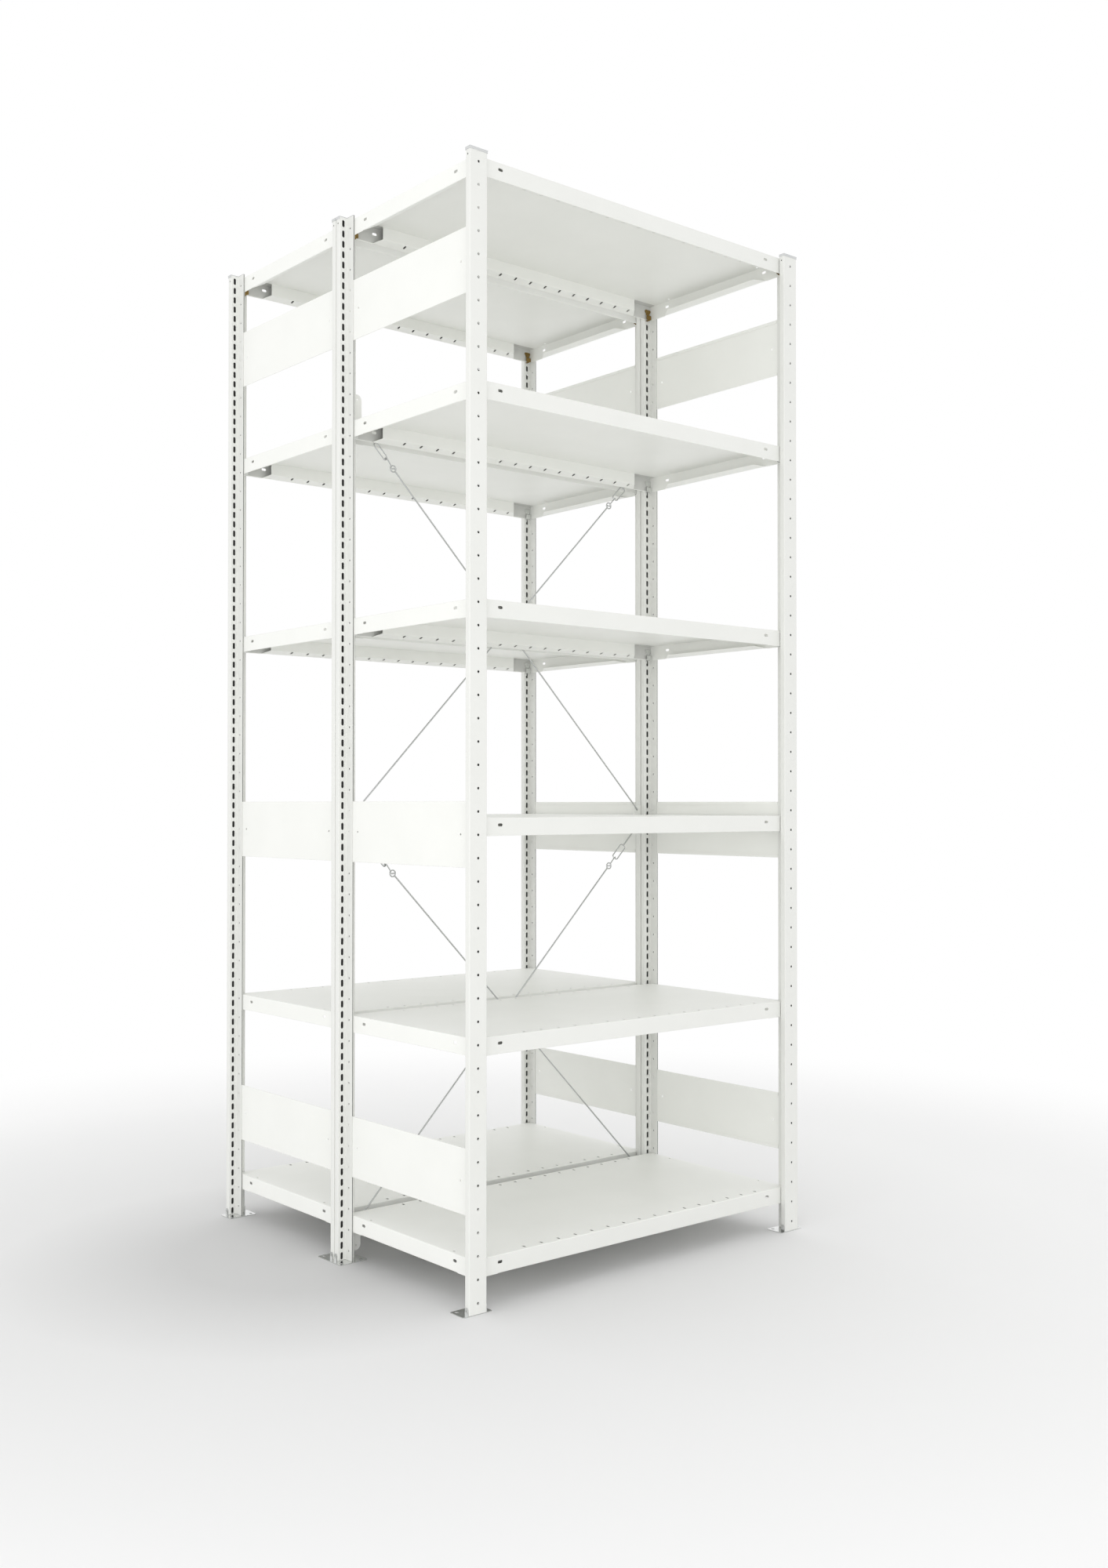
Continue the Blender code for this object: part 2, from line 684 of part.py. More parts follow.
def add_braces(unit, coat, zinc):
    bracket = finish_mesh(bracket_mesh(), "brace_bracket", coat)
    hole = POST_SPACING / 2 - BRACKET_HOLE_REACH
    for level, name in enumerate(("low", "middle", "top")):
        for side, side_way in SIDES:
            turn = (0, 0, 0 if side_way < 0 else math.pi)
            place = (side_way * hole, 0, bracket_height(level))
            unit.add(f"{name}_brace_bracket_{side}", bracket, place, turn)
    fall = bracket_height(1) - bracket_height(0) - HOLE_PITCH
    slope = math.atan2(fall, 2 * hole)
    rod = finish_mesh(rod_mesh(math.hypot(fall, 2 * hole)), "brace_rod", zinc)
    link = finish_mesh(link_mesh(), "brace_link", zinc)
    for name, level in (("lower", 1), ("upper", 2)):
        for side, side_way in SIDES:
            turn = (0, slope, 0 if side_way < 0 else math.pi)
            place = (side_way * hole, 0, bracket_height(level))
            unit.add(f"{name}_brace_rod_{side}", rod, place, turn)
            unit.add(f"{name}_brace_link_{side}", link, place, turn)


def main():
    clear_scene()
    coat = make_material("white_powder_coat", (0.86, 0.87, 0.84), 0.45, 0.0)
    zinc = make_material("zinc_plated_steel", (0.62, 0.63, 0.62), 0.4, 1.0)
    plastic = make_material("grey_cap_plastic", (0.6, 0.61, 0.61), 0.5, 0.0)
    unit = Unit("double_sided_shelving_unit")
    add_posts_and_caps(unit, coat, plastic)
    add_shelves(unit, coat)
    add_panels(unit, coat)
    add_feet(unit, zinc)
    add_braces(unit, coat, zinc)


main()
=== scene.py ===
"""The looks of a double-sided shelving unit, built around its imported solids.

Metres, +Z up. X runs along the shelves, Y from the front rack through the back rack, and z = 0 is the
floor. Sheet-metal pieces are drawn as folded middle surfaces with their real holes and then thickened.
"""

import math

import bmesh
import bpy
from mathutils import Matrix, Vector


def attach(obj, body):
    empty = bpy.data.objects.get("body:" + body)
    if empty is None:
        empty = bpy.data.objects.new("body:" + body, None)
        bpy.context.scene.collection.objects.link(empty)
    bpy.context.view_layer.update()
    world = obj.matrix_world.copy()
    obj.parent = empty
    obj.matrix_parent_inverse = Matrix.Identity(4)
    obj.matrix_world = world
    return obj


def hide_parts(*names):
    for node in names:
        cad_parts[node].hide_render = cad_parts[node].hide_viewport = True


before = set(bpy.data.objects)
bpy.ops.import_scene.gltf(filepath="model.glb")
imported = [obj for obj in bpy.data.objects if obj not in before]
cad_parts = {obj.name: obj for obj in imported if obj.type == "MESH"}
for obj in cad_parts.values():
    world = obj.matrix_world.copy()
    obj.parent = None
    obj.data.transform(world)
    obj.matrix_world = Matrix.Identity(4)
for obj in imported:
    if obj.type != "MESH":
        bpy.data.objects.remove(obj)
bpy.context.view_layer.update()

# General
MM = 0.001
BEND_STEPS = 4
HOLE_STEPS = 4
WIRE_STEPS = 4
EDGE_ROUNDING = 0.25 * MM
SAME_POINT = 1e-6
WELD_DISTANCE = 1e-5
SHARP_ANGLE = math.radians(35)

# Posts
SLOT_PITCH = 25 * MM
FIRST_SLOT = 10 * MM
SLOT_COUNT = 100
SLOT_LENGTH = 17 * MM
SLOT_WIDTH = 7 * MM
SLOT_OFFSET = 13 * MM
POST_WIDTH = 47.3 * MM
POST_FLANGE = 16 * MM
POST_DEPTH = 42.3 * MM
POST_SHEET = 1.5 * MM
POST_BEND = 1.8 * MM
POST_WEB = 1.55 * MM
POST_BASE = 2.3 * MM
POST_LENGTH = SLOT_COUNT * SLOT_PITCH
POST_X = 502.6 * MM
FACE_HOLE = 3 * MM
WEB_HOLE = 2.5 * MM
WEB_HOLE_Y = 29 * MM
FLANK_HOLE = 2.2 * MM
FLANK_HOLE_Y = 8.4 * MM
FLANK_HOLE_Z = 2485.3 * MM
INNER_FACE = 1.3 * MM
OUTER_FACE = 537.5 * MM
RACK_CENTRE = (INNER_FACE + OUTER_FACE) / 2
RACK_DEPTH = OUTER_FACE - INNER_FACE

# Shelves
SHELF_LENGTH = 1000 * MM
SHELF_DEPTH = 500 * MM
SHELF_LIP = 40 * MM
SHELF_SHEET = 1 * MM
SHELF_BEND = 1.5 * MM
SHELF_LEVELS = 6
FIRST_SHELF_SLOT = 2
SLOTS_PER_LEVEL = 19
LIP_OVER_SLOT = 8.8 * MM
TOP_SHELF_RISE = 10.8 * MM
CORNER_GAP = 0.3 * MM
FOLD_RISE = 0.38
FOLD_BEND = 1 * MM
BOX_BEND = 1.5 * MM
LONG_FOLD_DEPTH = 22 * MM
LONG_FOLD_END = 65 * MM
LONG_MITRE = 17.1 * MM
SIDE_FOLD_DEPTH = 20 * MM
SIDE_FOLD_END = 60 * MM
SIDE_MITRE = 30 * MM
LIP_HOLE_Z = 24.2 * MM
LIP_HOLE = (6.7 * MM, 3.3 * MM)
LONG_LIP_HOLE_INSET = 71 * MM
SIDE_LIP_HOLE_INSET = 69 * MM
DECK_SLOT = (3 * MM, 5.8 * MM)
FOLD_SLOT = (3 * MM, 5.4 * MM)
DECK_SLOT_INSET = 15.5 * MM
DECK_SLOT_PITCH = 50 * MM
DECK_SLOT_PLACES = range(-7, 9)
DECK_HOLE = 3.2 * MM
DECK_HOLE_X_INSET = 10 * MM
DECK_HOLE_Y_INSET = 85 * MM
DECK_ROW = 22 * MM
DECK_COLUMN = 18 * MM

# Shelf clips, in the post's frame but for z = 0 at the lip's lower edge
CLIP_OFFSET = 14.6 * MM
CLIP_SHEET = 1.5 * MM
CLIP_HEAD_Y = 20.15 * MM
CLIP_STEP = 5 * MM
CLIP_BEND = 1.2 * MM
CLIP_TOP = 29 * MM
CLIP_SHOULDER = 14.5 * MM
CLIP_SLANT = 3 * MM
CLIP_WEB_Z = -1.05 * MM
CLIP_HOOK_Y = 13 * MM
CLIP_HOOK_DROP = 8 * MM
CLIP_TONGUE = 3.2 * MM
CLIP_WIDTHS = (  # height, half width
    (CLIP_TOP, 7.5 * MM),
    (CLIP_TOP - 1 * MM, 9.6 * MM),
    (CLIP_TOP - 2 * MM, 10.4 * MM),
    (CLIP_TOP - 4 * MM, 10.6 * MM),
    (CLIP_TOP - 6 * MM, 10.2 * MM),
    (CLIP_TOP - 8 * MM, 8.6 * MM),
    (CLIP_TOP - 10 * MM, 7.2 * MM),
    (CLIP_TOP - 12 * MM, 6.5 * MM),
    (CLIP_SHOULDER + 0.6 * MM, 6.5 * MM),
    (CLIP_SHOULDER - CLIP_SLANT, 7.6 * MM),
    (CLIP_SHOULDER - CLIP_SLANT - 2 * MM, 8.4 * MM),
    (3 * MM, 8.5 * MM),
    (1 * MM, 8.0 * MM),
    (0, 7.0 * MM),
)

# Side panels
PANEL_HEIGHT = 144.5 * MM
PANEL_SHEET = 1 * MM
PANEL_GRIP = 24 * MM
PANEL_HEM = 8 * MM
PANEL_HEM_BEND = 0.6 * MM
PANEL_HEM_SETBACK = 2 * MM
PANEL_HOLE = 2.5 * MM
PANEL_HOLE_INSET = 63 * MM
PANEL_POST_HOLES = {"low": 5, "middle": 20, "top": 45}

# Caps
CAP_WALL = 0.8 * MM
CAP_GAP = 0.3 * MM
CAP_LID = 1.5 * MM
CAP_RIM = 4.5 * MM
CAP_LEG = 1.2 * MM
CAP_LEG_WIDTH = 3.5 * MM
CAP_EDGE_ROUNDING = 0.5 * MM
CAP_WEB = 2.3 * MM
CAP_LID_CORNER = 0.6 * MM
CAP_RIM_CORNER = 1 * MM
CAP_RIM_INSET = 0.25 * MM

# Foot plates
FOOT_WIDTH = 78 * MM
FOOT_DEPTH = 50 * MM
FOOT_SHEET = 2 * MM
FOOT_CORNER = 4 * MM
FOOT_HOLE = (11 * MM, 7 * MM)
FOOT_HOLE_X = 28.5 * MM
FOOT_HOLE_Y = 39 * MM
EAR_WIDTH = 10.5 * MM
EAR_HEIGHT = 16 * MM
EAR_Y = 7.8 * MM
EAR_ROUNDING = 4.8 * MM
EAR_HOLE = 2 * MM
EAR_HOLE_Z = 9.5 * MM

# Brace brackets
BRACKET_SHEET = 2 * MM
BRACKET_MARGIN = 12 * MM
BRACKET_REACH = 38 * MM
BRACKET_TAIL = 10 * MM
BRACKET_CORNER = 14 * MM
HOLE_PITCH = 50 * MM
HOLES_PER_BRACKET = 20

# Braces
ROD_RADIUS = 2 * MM
HOOK_CLEARANCE = 0.4 * MM
HOOK_GAP = 0.3 * MM
HOOK_BEND = 3 * MM
HOOK_TIP = 4 * MM
HOOK_OFFSET = BRACKET_SHEET / 2 + HOOK_GAP + ROD_RADIUS
LINK_START = 68 * MM
LINK_LENGTH = 51 * MM
LINK_WIDTH = 19 * MM
LINK_WIRE = 1.5 * MM
LINK_CORNER = 5.5 * MM
LINK_LEAN = math.radians(20)
STEM_RADIUS = 1.6 * MM
RING_PLACE = 147 * MM
RING_RADIUS = 8 * MM
RING_WIRE = 1.6 * MM
RING_WAVE = 3.8 * MM
RING_BULGE = 1.2 * MM

# Tones, matched in level to the photograph; the coat's lighter and darker copies per kind of piece are painted
# light and shade
SHELF_TONE = 0.912
POST_TONE = 0.81
PANEL_TONE = 0.905
# Darker copies of the coat: painted shade inside the shelves' box folds and on their long lips' outer faces
BOX_FOLD_SHADE_TONE = 0.65
LIP_SHADE_TONE = 0.83
COAT_SHADES = ((0.992, 1, 0.961), (1.009, 1.016, 0.978))

# Studio
FLOOR_HALF_SIZE = 30
FLOOR_ROUGHNESS = 0.9
FLOOR_FADE = (1.6, 3.0)
FLOOR_BOUNCE_TONE = 0.88
# Painted shadow on the floor: as the camera sees it, the floor darkens along the ramp towards a place beside the
# unit's base
FLOOR_SHADOW_CENTRE = (-0.55, 0.1, 0)
FLOOR_SHADOW_REACH = 2
FLOOR_SHADOW_RAMP = ((0.15, 0.66), (0.37, 0.83), (0.8, 0.91), (1, 0.94))
WORLD_GLOW = 1.18
LENS_SENSOR = 36
LENS_LENGTH = 35.34
LENS_SHIFT = (-0.0024, 0.0013)
CAMERA_PLACE = (-2.5008, -3.1672, 1.0902)
CAMERA_TURN = (math.radians(90.68), 0, math.radians(-40.18))
CAMERA_REACH = 100
LAMPS = (  # name, energy, size, place, target
    ("side_light", 26, 4, (-6, -1, 2.2), (0, 0, 1.2)),
    ("low_light", 75, 3.5, (-3.5, -4.5, 0.6), (0, 0, 1.4)),
)

SIDES = (("left", -1), ("right", 1))
RACKS = (("front", -1), ("back", 1))
ROWS = (("outer", OUTER_FACE, 1), ("inner", INNER_FACE, -1))

STAND_ALONG_X = Matrix.Rotation(math.pi / 2, 4, "X")
STAND_ALONG_Y = Matrix(((0, 0, 1, 0), (1, 0, 0, 0), (0, 1, 0, 0), (0, 0, 0, 1)))


# Outlines


def arc_at_corner(before, corner, after, radius, steps=BEND_STEPS):
    """The points of the arc that rounds a corner of a polyline."""
    first = (corner[0] - before[0], corner[1] - before[1])
    second = (after[0] - corner[0], after[1] - corner[1])
    start = math.atan2(first[1], first[0])
    turn = math.atan2(second[1], second[0]) - start
    turn = (turn + math.pi) % (2 * math.pi) - math.pi
    side = math.copysign(1, turn)
    tangent = radius * math.tan(abs(turn) / 2)
    entry = (corner[0] - tangent * math.cos(start), corner[1] - tangent * math.sin(start))
    centre = (entry[0] - side * radius * math.sin(start), entry[1] + side * radius * math.cos(start))
    points = []
    for step in range(steps + 1):
        heading = start + turn * step / steps
        x = centre[0] + side * radius * math.sin(heading)
        y = centre[1] - side * radius * math.cos(heading)
        points.append((x, y))
    return points


def rounded_path(corners, radius, steps=BEND_STEPS):
    points = [corners[0]]
    for before, corner, after in zip(corners, corners[1:], corners[2:]):
        points += arc_at_corner(before, corner, after, radius, steps)
    return points + [corners[-1]]


def rounded_outline(corners, radius, steps=2 * BEND_STEPS):
    points = []
    for index, corner in enumerate(corners):
        after = corners[(index + 1) % len(corners)]
        points += arc_at_corner(corners[index - 1], corner, after, radius, steps)
    return points


def rectangle(low_x, high_x, low_y, high_y):
    return [(low_x, low_y), (high_x, low_y), (high_x, high_y), (low_x, high_y)]


def half_hole(u, v, half_u, half_v, way):
    """One side of a rounded hole on the line v, from its end at low u to its end at high u."""
    radius = min(half_u, half_v)
    points = [(u - half_u, v)]
    for first, centre in ((math.pi, u - half_u + radius), (math.pi / 2, u + half_u - radius)):
        for step in range(HOLE_STEPS + 1):
            angle = first - math.pi / 2 * step / HOLE_STEPS
            height = half_v - radius + radius * math.sin(angle)
            points.append((centre + radius * math.cos(angle), v + way * height))
    return points + [(u + half_u, v)]


def hole_outline(x, y, half_x, half_y):
    upper = half_hole(x, y, half_x, half_y, 1)
    lower = half_hole(x, y, half_x, half_y, -1)
    outline = []
    for px, py in upper + lower[::-1]:
        if not outline or math.hypot(px - outline[-1][0], py - outline[-1][1]) > SAME_POINT:
            outline.append((px, py))
    return outline[:-1]


# Meshes


class Sheet:
    """A folded middle surface, welded as it is drawn."""

    def __init__(self):
        self.shape = bmesh.new()
        self.points = {}

    def point(self, place):
        key = tuple(round(value * 1e6) for value in place)
        if key not in self.points:
            self.points[key] = self.shape.verts.new(place)
        return self.points[key]

    def face(self, places):
        corners = []
        for place in places:
            corner = self.point(place)
            if not corners or corner is not corners[-1]:
                corners.append(corner)
        if corners[0] is corners[-1]:
            corners.pop()
        if len(corners) > 2:
            self.shape.faces.new(corners)

    def strip(self, rows):
        """Faces between rows of as many points each."""
        for row, beyond in zip(rows, rows[1:]):
            for index in range(len(row) - 1):
                self.face((row[index], row[index + 1], beyond[index + 1], beyond[index]))

    def cell(self, place, levels, ends, holes=(), low_stops=(), high_stops=()):
        """A flat piece cut along the middle of three rising levels, where its holes lie.

        Stops are corners on its long edges. With falling levels the holes would be folded over, not cut.
        """
        low, cut, high = levels
        assert low < cut < high, levels
        for way, level, (start, end), stops in ((-1, low, ends[0], low_stops), (1, high, ends[2], high_stops)):
            path = [(ends[1][0], cut)]
            for u, half_u, half_v in holes:
                path += half_hole(u, cut, half_u, half_v, way)
            path.append((ends[1][1], cut))
            path += [(u, level) for u in sorted([start, end, *stops], reverse=True)]
            self.face([place(u, v) for u, v in path])

    def mesh(self, thickness, inner_material=0):
        """The thickened sheet, its inner side with a material of its own."""
        bmesh.ops.recalc_face_normals(self.shape, faces=self.shape.faces)
        surface = bpy.data.meshes.new("surface")
        self.shape.to_mesh(surface)
        self.shape.free()
        for _ in range(inner_material + 1):
            surface.materials.append(None)
        holder = bpy.data.objects.new("holder", surface)
        solid = holder.modifiers.new("Solidify", "SOLIDIFY")
        solid.thickness = thickness
        solid.offset = 0
        solid.use_even_offset = True
        solid.material_offset = inner_material
        return baked(holder)


def baked(holder):
    """The mesh of an object with its modifiers applied, and the object removed."""
    bpy.context.scene.collection.objects.link(holder)
    graph = bpy.context.evaluated_depsgraph_get()
    mesh = bpy.data.meshes.new_from_object(holder.evaluated_get(graph))
    data = holder.data
    bpy.data.objects.remove(holder)
    if isinstance(data, bpy.types.Curve):
        bpy.data.curves.remove(data)
        weld(mesh)
    else:
        bpy.data.meshes.remove(data)
    return mesh


def weld(mesh):
    shape = bmesh.new()
    shape.from_mesh(mesh)
    bmesh.ops.remove_doubles(shape, verts=shape.verts, dist=WELD_DISTANCE)
    bmesh.ops.recalc_face_normals(shape, faces=shape.faces)
    shape.to_mesh(mesh)
    shape.free()


def finished(mesh, name, *materials):
    """A mesh with its materials, smooth but for its folds and level on its flats."""
    indices = [face.material_index for face in mesh.polygons]
    mesh.materials.clear()
    for material in materials:
        mesh.materials.append(material)
    mesh.polygons.foreach_set("material_index", indices)
    mesh.shade_smooth()
    mesh.set_sharp_from_angle(angle=SHARP_ANGLE)
    holder = bpy.data.objects.new("holder", mesh)
    weights = holder.modifiers.new("Weighted normals", "WEIGHTED_NORMAL")
    weights.mode = "FACE_AREA"
    weights.keep_sharp = True
    result = baked(holder)
    result.name = name
    return result


def plate(outlines, thickness, middle=0.0, rounding=EDGE_ROUNDING):
    """A flat plate across z with softly rounded edges, the first outline its edge and the others its holes."""
    curve = bpy.data.curves.new("outline", "CURVE")
    curve.dimensions = "2D"
    curve.fill_mode = "BOTH"
    curve.extrude = thickness / 2 - rounding
    curve.bevel_depth = rounding
    curve.bevel_resolution = 1
    curve.offset = -rounding
    for outline in outlines:
        spline = curve.splines.new("POLY")
        spline.points.add(len(outline) - 1)
        for point, (x, y) in zip(spline.points, outline):
            point.co = (x, y, 0, 1)
        spline.use_cyclic_u = True
    mesh = baked(bpy.data.objects.new("holder", curve))
    mesh.transform(Matrix.Translation((0, 0, middle)))
    return mesh


def wire(points, radius, closed=False):
    """A round wire along 3D points."""
    curve = bpy.data.curves.new("wire", "CURVE")
    curve.dimensions = "3D"
    curve.bevel_depth = radius
    curve.bevel_resolution = WIRE_STEPS
    curve.use_fill_caps = not closed
    spline = curve.splines.new("POLY")
    spline.points.add(len(points) - 1)
    for point, place in zip(spline.points, points):
        point.co = (*place, 1)
    spline.use_cyclic_u = closed
    return baked(bpy.data.objects.new("holder", curve))


def moved(mesh, matrix):
    mesh.transform(matrix)
    return mesh


def joined(meshes):
    shape = bmesh.new()
    for mesh in meshes:
        shape.from_mesh(mesh)
        bpy.data.meshes.remove(mesh)
    result = bpy.data.meshes.new("group")
    shape.to_mesh(result)
    shape.free()
    return result


# Posts


def post_mesh():
    """A perforated post in its own frame: face on the XZ plane, web towards +Y, foot at z = 0."""
    sheet = Sheet()
    half = (POST_WIDTH - POST_SHEET) / 2
    face = POST_SHEET / 2
    back = POST_FLANGE - POST_SHEET / 2
    near = arc_at_corner((0, face), (half, face), (half, back), POST_BEND)
    far = arc_at_corner((half, face), (half, back), (POST_WEB, back), POST_BEND)
    root = arc_at_corner((half, back), (POST_WEB, back), (POST_WEB, POST_DEPTH), POST_BEND)
    slots = [FIRST_SLOT + SLOT_PITCH * row for row in range(SLOT_COUNT)]
    cuts = [0, *(slot + SLOT_PITCH / 2 for slot in slots), POST_LENGTH]
    for side in (-1, 1):
        for arc in (near, far, root):
            sheet.strip([[(side * x, y, z) for z in cuts] for x, y in arc])
        for low, high in zip(cuts, cuts[1:]):
            ends = ((low, high),) * 3
            holes = [(FLANK_HOLE_Z, FLANK_HOLE, FLANK_HOLE)] if low < FLANK_HOLE_Z < high else []
            levels = (near[-1][1], FLANK_HOLE_Y, far[0][1])
            sheet.cell(lambda z, y: (side * half, y, z), levels, ends, holes)
            holes = [(slot, SLOT_LENGTH / 2, SLOT_WIDTH / 2) for slot in slots if low < slot < high]
            levels = (root[0][0], SLOT_OFFSET, far[-1][0])
            sheet.cell(lambda z, x: (side * x, back, z), levels, ends, holes)
    width = near[0][0]
    for levels in zip(cuts[::2], cuts[1::2], cuts[2::2]):
        sheet.cell(lambda x, z: (x, face, z), levels, ((-width, width),) * 3, [(0, FACE_HOLE, FACE_HOLE)])
        for side in (-1, 1):
            ends = ((root[-1][1], POST_DEPTH),) * 3
            holes = [(WEB_HOLE_Y, WEB_HOLE, WEB_HOLE)]
            sheet.cell(lambda y, z: (side * POST_WEB, y, z), levels, ends, holes)
    sheet.strip([[(x, face, z) for x in (-width, width)] for z in cuts[-2:]])
    for side in (-1, 1):
        sheet.strip([[(side * POST_WEB, y, z) for y in (root[-1][1], POST_DEPTH)] for z in cuts[-2:]])
    # The inner side takes material 1, the dark painted shade of the post's hollow
    return sheet.mesh(POST_SHEET, 1)


def cap_mesh():
    """A cap over a post's upper end, which is z = 0."""
    half = POST_WIDTH / 2 + CAP_GAP + CAP_WALL
    front = -CAP_GAP - CAP_WALL
    right = [(half, front), (half, POST_FLANGE), (CAP_WEB, POST_FLANGE), (CAP_WEB, POST_DEPTH)]
    outline = rounded_outline(right + [(-x, y) for x, y in right[::-1]], CAP_LID_CORNER, 3)
    lid = plate([outline], CAP_LID, CAP_GAP + CAP_LID / 2, CAP_EDGE_ROUNDING)
    rim = Sheet()
    middle = half - CAP_WALL / 2 - CAP_RIM_INSET
    face = front + CAP_WALL / 2 + CAP_RIM_INSET
    legs = POST_FLANGE - CAP_LEG_WIDTH
    corners = [(-middle, legs), (-middle, face), (middle, face), (middle, legs)]
    path = rounded_path(corners, CAP_RIM_CORNER)
    low = CAP_GAP - CAP_RIM
    rim.strip([[(x, y, z) for x, y in path] for z in (CAP_GAP + CAP_LID / 2, low)])
    for x in (-middle, middle):
        rows = [[(x, y, z) for y in (legs, POST_FLANGE)] for z in (CAP_GAP + CAP_LID / 2, low, low - CAP_LEG)]
        rim.strip(rows)
    return joined([lid, rim.mesh(CAP_WALL)])


# Shelves


def shelf_mesh():
    """A shelf about its centre, with z = 0 at the lower edge of its lips.

    Its materials are 0 for most faces, 1 inside the box folds and 2 on the outer faces of the long lips; 1 and 2
    are darker coats, painted shade.
    """
    sheet = Sheet()
    edge = SHELF_SHEET / 2
    deck = SHELF_LIP - edge
    half_x, half_y = SHELF_LENGTH / 2, SHELF_DEPTH / 2
    flat_x = half_x - edge - SHELF_BEND
    flat_y = half_y - edge - SHELF_BEND
    row_y = half_y - DECK_ROW
    slot_y = half_y - DECK_SLOT_INSET
    column_x = half_x - DECK_COLUMN
    hole_x = half_x - DECK_HOLE_X_INSET
    slots = [(DECK_SLOT_PITCH * step, *DECK_SLOT) for step in DECK_SLOT_PLACES]
    stops = (-hole_x, -column_x, column_x, hole_x)
    y_stops = (-slot_y, -row_y, row_y, slot_y)
    for way in (-1, 1):
        levels = (row_y, slot_y, flat_y)
        sheet.cell(lambda x, y: (x, way * y, deck), levels, ((-flat_x, flat_x),) * 3, slots, stops)
        holes = [(place * (half_y - DECK_HOLE_Y_INSET), DECK_HOLE, DECK_HOLE) for place in (-1, 1)]
        levels = (column_x, hole_x, flat_x)
        sheet.cell(lambda y, x: (way * x, y, deck), levels, ((-row_y, row_y),) * 3, holes)
    corners = rectangle(-column_x, column_x, -row_y, row_y)
    sheet.face([(x, y, deck) for x, y in corners])
    draw_lips(sheet, "long", half_x, half_y, flat_x, ())
    draw_lips(sheet, "side", half_y, half_x, flat_y, y_stops)
    mesh = sheet.mesh(SHELF_SHEET, 1)
    # Material 1 paints shade inside the box folds, and material 2 paints shade on the long lips' outer faces
    for face in mesh.polygons:
        depth = half_y - abs(face.center.y)
        floor = edge + FOLD_RISE * depth
        boxed = SHELF_SHEET < depth < LONG_FOLD_DEPTH and floor < face.center.z < deck
        if boxed and abs(face.center.x) < half_x - LONG_FOLD_END:
            face.material_index = 1
        else:
            face.material_index = 2 if depth < edge / 2 else 0
    return mesh


def draw_lips(sheet, kind, half_run, reach, flat_run, stops):
    """Two facing lips with their folds. A lip runs along u, and d is the way inwards from its outer face."""
    edge = SHELF_SHEET / 2
    deck = SHELF_LIP - edge
    is_long = kind == "long"
    depth = LONG_FOLD_DEPTH if is_long else SIDE_FOLD_DEPTH
    fold_end = half_run - (LONG_FOLD_END if is_long else SIDE_FOLD_END)
    mitre = LONG_MITRE if is_long else SIDE_MITRE
    inset = LONG_LIP_HOLE_INSET if is_long else SIDE_LIP_HOLE_INSET
    lip_run = half_run - edge - (0 if is_long else edge + CORNER_GAP)
    crease = (edge, edge)
    inner = (depth, edge + FOLD_RISE * depth)
    top = arc_at_corner((reach, deck), (edge, deck), crease, SHELF_BEND)
    foot = arc_at_corner((edge, deck), crease, inner, FOLD_BEND, 2 * BEND_STEPS)
    holes = [(way * (half_run - inset), *LIP_HOLE) for way in (-1, 1)]
    bend_stops = [-flat_run, *stops, flat_run]
    for way in (-1, 1):

        def place(u, d, z):
            return (u, way * (reach - d), z) if is_long else (way * (reach - d), u, z)

        def fold_run(d):
            return fold_end - mitre * d / depth

        sheet.strip([[place(u, d, z) for u in bend_stops] for d, z in top])
        levels = (foot[0][1], LIP_HOLE_Z, top[-1][1])
        sheet.cell(
            lambda u, z: place(u, edge, z),
            levels,
            ((-lip_run, lip_run),) * 3,
            holes,
            (-fold_end, fold_end),
            bend_stops,
        )
        for low, high in ((-lip_run, -fold_end), (fold_end, lip_run)):
            tab = [(low, 0), (high, 0), (high, foot[0][1]), (low, foot[0][1])]
            sheet.face([place(u, edge, z) for u, z in tab])
        rows = [(fold_end, *foot[0])] + [(fold_run(d), d, z) for d, z in foot[1:]]
        sheet.strip([[place(-run, d, z), place(run, d, z)] for run, d, z in rows])
        if is_long:
            wall = arc_at_corner(crease, inner, (depth, deck), BOX_BEND)
            cut = DECK_SLOT_INSET
            slots = [(DECK_SLOT_PITCH * step, *FOLD_SLOT) for step in DECK_SLOT_PLACES]
            levels = (foot[-1][0], cut, wall[0][0])
            ends = [(-fold_run(d), fold_run(d)) for d in levels]
            sheet.cell(lambda u, d: place(u, d, edge + FOLD_RISE * d), levels, ends, slots)
            rows = [(fold_run(d), d, z) for d, z in wall] + [(fold_run(depth), depth, deck - edge)]
            sheet.strip([[place(-run, d, z), place(run, d, z)] for run, d, z in rows])
        else:
            rows = [(fold_run(d), d, z) for d, z in (foot[-1], inner)]
            sheet.strip([[place(-run, d, z), place(run, d, z)] for run, d, z in rows])


# Clips


